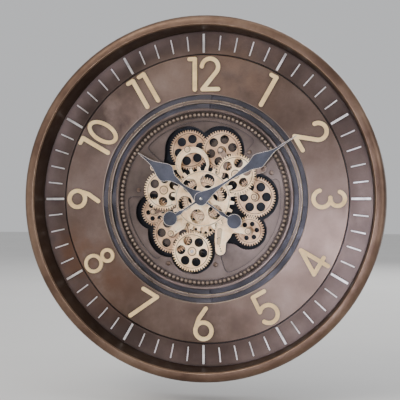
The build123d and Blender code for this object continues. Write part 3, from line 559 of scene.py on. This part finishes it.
def smoothing_group():
    """Geometry nodes that shade an edge smooth where its faces nearly agree."""
    group = bpy.data.node_groups.new("smooth_by_angle", "GeometryNodeTree")
    for way in ("INPUT", "OUTPUT"):
        group.interface.new_socket("Geometry", in_out=way, socket_type="NodeSocketGeometry")
    source = group.nodes.new("NodeGroupInput")
    target = group.nodes.new("NodeGroupOutput")
    faces = group.nodes.new("GeometryNodeSetShadeSmooth")
    edges = group.nodes.new("GeometryNodeSetShadeSmooth")
    edges.domain = "EDGE"
    angle = group.nodes.new("GeometryNodeInputMeshEdgeAngle")
    near = group.nodes.new("FunctionNodeCompare")
    near.data_type = "FLOAT"
    near.operation = "LESS_THAN"
    near.inputs[1].default_value = SMOOTH_ANGLE
    links = group.links
    links.new(source.outputs[0], faces.inputs["Geometry"])
    links.new(faces.outputs[0], edges.inputs["Geometry"])
    links.new(angle.outputs["Unsigned Angle"], near.inputs[0])
    links.new(near.outputs[0], edges.inputs["Shade Smooth"])
    links.new(edges.outputs[0], target.inputs[0])
    return group


SMOOTHING = smoothing_group()


def dress(names, material, bevel_mm=0.0, edge=None, segments=2):
    """Give CAD nodes a material, and where asked a fine rounded edge with its own tone: light
    tones paint a highlight along it, and the numerals' dark tone paints wear and shade.
    """
    for name in names:
        node = NODES[name]
        mesh = node.data
        mesh.materials.clear()
        mesh.materials.append(material)
        for custom in [a for a in mesh.attributes if a.name == "custom_normal"]:
            mesh.attributes.remove(custom)
        weld = node.modifiers.new("weld", "WELD")
        weld.merge_threshold = WELD_REACH
        if bevel_mm:
            bevel = node.modifiers.new("edges", "BEVEL")
            bevel.width = bevel_mm / 1000
            bevel.segments = segments
            bevel.limit_method = "ANGLE"
            bevel.angle_limit = BEVEL_ANGLE
            bevel.use_clamp_overlap = True
            if edge:
                mesh.materials.append(edge)
                bevel.material = 1
        shade = node.modifiers.new("smooth", "NODES")
        shade.node_group = SMOOTHING
        flat = node.modifiers.new("flat_faces", "WEIGHTED_NORMAL")
        flat.mode = "FACE_AREA"
        flat.weight = FLAT_WEIGHT
        flat.keep_sharp = True


HOURS = range(1, 13)
dress(["case_rim"], rim_bronze, 0.4, rim_edge)
dress(["minute_track"], track_bronze, 0.4)
dress(["dial_ring"], dial_bronze, 0.5)
dress(["middle_ring"], plate_bronze, 0.35, dial_edge)
dress(["bead_ring"], beaded_bronze(), 0.35, dial_edge)
dress(["gear_plate"], plate_bronze, 0.5)
dress(["dial_base"], slate, 0.3)
dress([f"numeral_{h}" for h in HOURS], cream, 0.5, cream_edge)
dress(["hour_markers", "minute_markers"], silver, 0.3)
dress(["dress_screws", "rear_screws"], screw_bronze, 0.15)
dress(["centre_bush", "motor_shaft", "drive_motor"], steel, 0.2)
dress(["hour_tube"], brass, 0.1)
dress(["minute_arbor"], polished, 0.1)
dress(["gear_box"], well_dark, 0.3)
dress(["hour_hand", "minute_hand"], hand_slate)
dress(["movement_housing", "drive_unit"], black_plastic, 0.5)
dress(["set_knob", "switch_slider"], grey_plastic, 0.2)
dress(["back_panel"], panel_black, 0.3)
dress(["wall_bumpers"], rubber, 0.4)
dress(["batteries"], cell_jacket, 0.4)

# --- Dressing the wheels and their bridges ----------------------------------------------
GEARS = range(1, 11)
PINS = {k: PIVOTS[f"gear_{k}"] for k in GEARS}
PIN_LINE = (0.0042, 0.0009, 0.9)


def bridge(name, tones, edge, pins=(), face_mm=None, below=SHADED):
    """Dress a bridge, with a dark line round the pivot pin of each wheel that it carries."""
    rings = [(PINS[k], *PIN_LINE) for k in pins]
    made = gear_material(f"{name}_plating", tones, rings, face_mm, below=below)
    dress([name], made, 0.4, edge)


bridge("ring_bridge", GOLD, gear_edge_gold, [1])
bridge("lower_left_cock", GOLD, gear_edge_gold, [8])
bridge("right_cock", GOLD, gear_edge_gold, [4])
# The y bridge's recess below its face takes painted shade in a brown-grey tone.
bridge("y_bridge", GOLD, gear_edge_gold, [5], 44.9, (98, 76, 60))
bridge("upper_right_cock", COCK_TAN, gear_edge_tan, [2])
bridge("left_cock", COCK_TAN, gear_edge_tan, [7])
bridge("front_strap", COCK_TAN, gear_edge_tan)
dress(["gear_studs"], gear_material("stud_plating", TAN, []), 0.2, gear_edge_gold)

# Scribed lines of a wheel: radius, half width and amount.
BIG_LINES = [(0.0250, 0.0007, 0.8), (0.0061, 0.0009, 0.9)]
SMALL_LINES = [(0.0172, 0.0006, 0.7), (0.0058, 0.0007, 0.7)]
CENTRE_LINE = (AXIS, 0.0240, 0.0008, 0.8)
DISPLAY_LINE = (AXIS, 0.0402, 0.0009, 0.95)
SMALL_WHEELS = (5, 7, 10)
FRONT_WHEELS = (3, 6, 9, 10)
# Height of each wheel's front face above the wall, less a hair; what is lower takes painted
# shade.
FACE_MM = {
    1: 24.9, 7: 24.9, 2: 28.9, 4: 28.9, 5: 28.9, 8: 28.9, 10: 33.9, 3: 44.9, 6: 44.9, 9: 44.9
}
CENTRE_FACE_MM = 46.9
for k in GEARS:
    tones = GOLD if k in FRONT_WHEELS else TAN
    lines = SMALL_LINES if k in SMALL_WHEELS else BIG_LINES
    rings = [(PINS[k], *line) for line in lines]
    made = gear_material(f"gear_{k}_plating", tones, rings, FACE_MM[k])
    dress([f"gear_{k}"], made, 0.2, segments=1)
made = gear_material("centre_plating", TAN, [CENTRE_LINE], CENTRE_FACE_MM)
dress(["centre_gear"], made, 0.2, segments=1)
made = gear_material("display_plating", GOLD, [DISPLAY_LINE])
dress(["display_wheel"], made, 0.3, gear_edge_gold)
